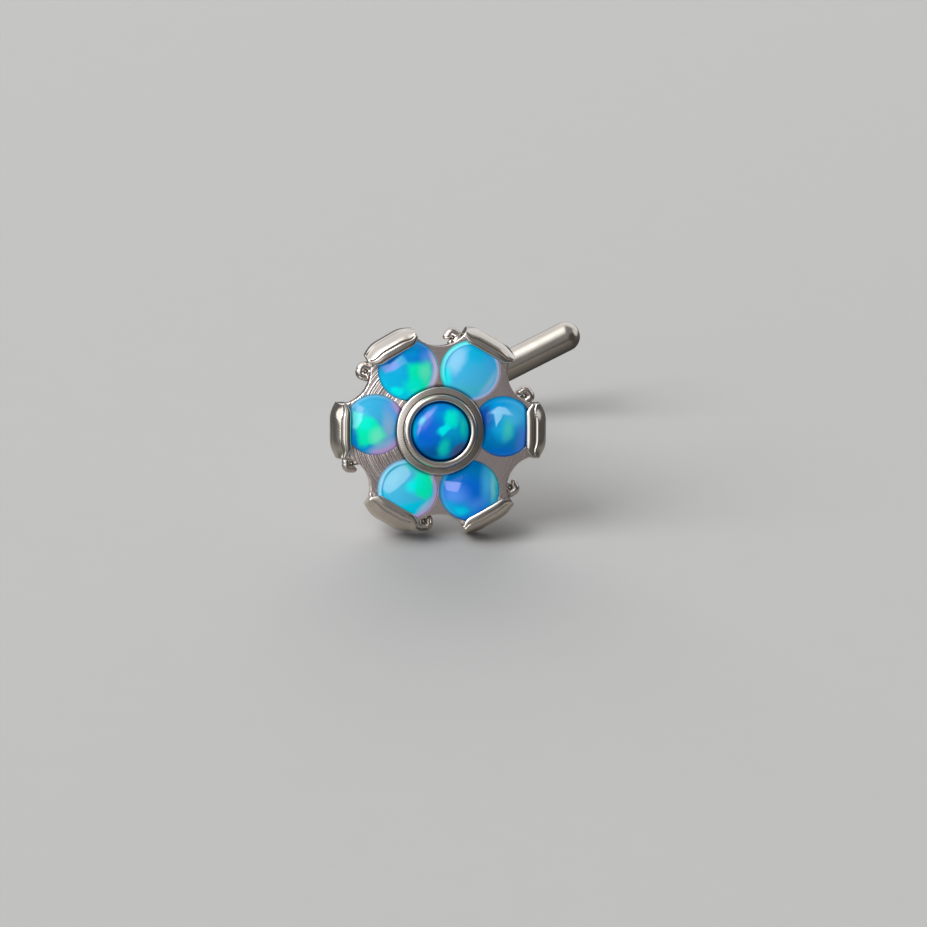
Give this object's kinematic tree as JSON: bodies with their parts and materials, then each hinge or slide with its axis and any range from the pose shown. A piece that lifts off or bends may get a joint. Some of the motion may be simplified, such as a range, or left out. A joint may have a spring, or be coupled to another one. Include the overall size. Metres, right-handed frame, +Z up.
{
  "type": "nose stud",
  "caption": "L-shaped nose stud: a flower head of round domed opals held by claw tabs and a centre bezel, on a straight wire post that bends into an arm with a rounded tip.",
  "frame": {"origin": "centre of the bottom of the bounding box, on the surface that the stud rests on", "axes": "+Z up; the flower's face looks towards -Y and leans back; the post runs back towards +Y; the arm points to +X"},
  "size_m": [0.0072, 0.0092, 0.0051],
  "materials": {
    "setting_metal": "polished, with fine turned rings on the plate",
    "post_wire": "polished wire",
    "centre_opal": "glossy blue opal with green fire",
    "petal_opal": "glossy sky-blue opal with green fire"
  },
  "bodies": {
    "root": {"setting": "setting_metal", "post": "post_wire", "centre_opal": "centre_opal", "petal_opal_1": "petal_opal", "petal_opal_2": "petal_opal", "petal_opal_3": "petal_opal", "petal_opal_4": "petal_opal", "petal_opal_5": "petal_opal", "petal_opal_6": "petal_opal"}
  },
  "joints": []
}
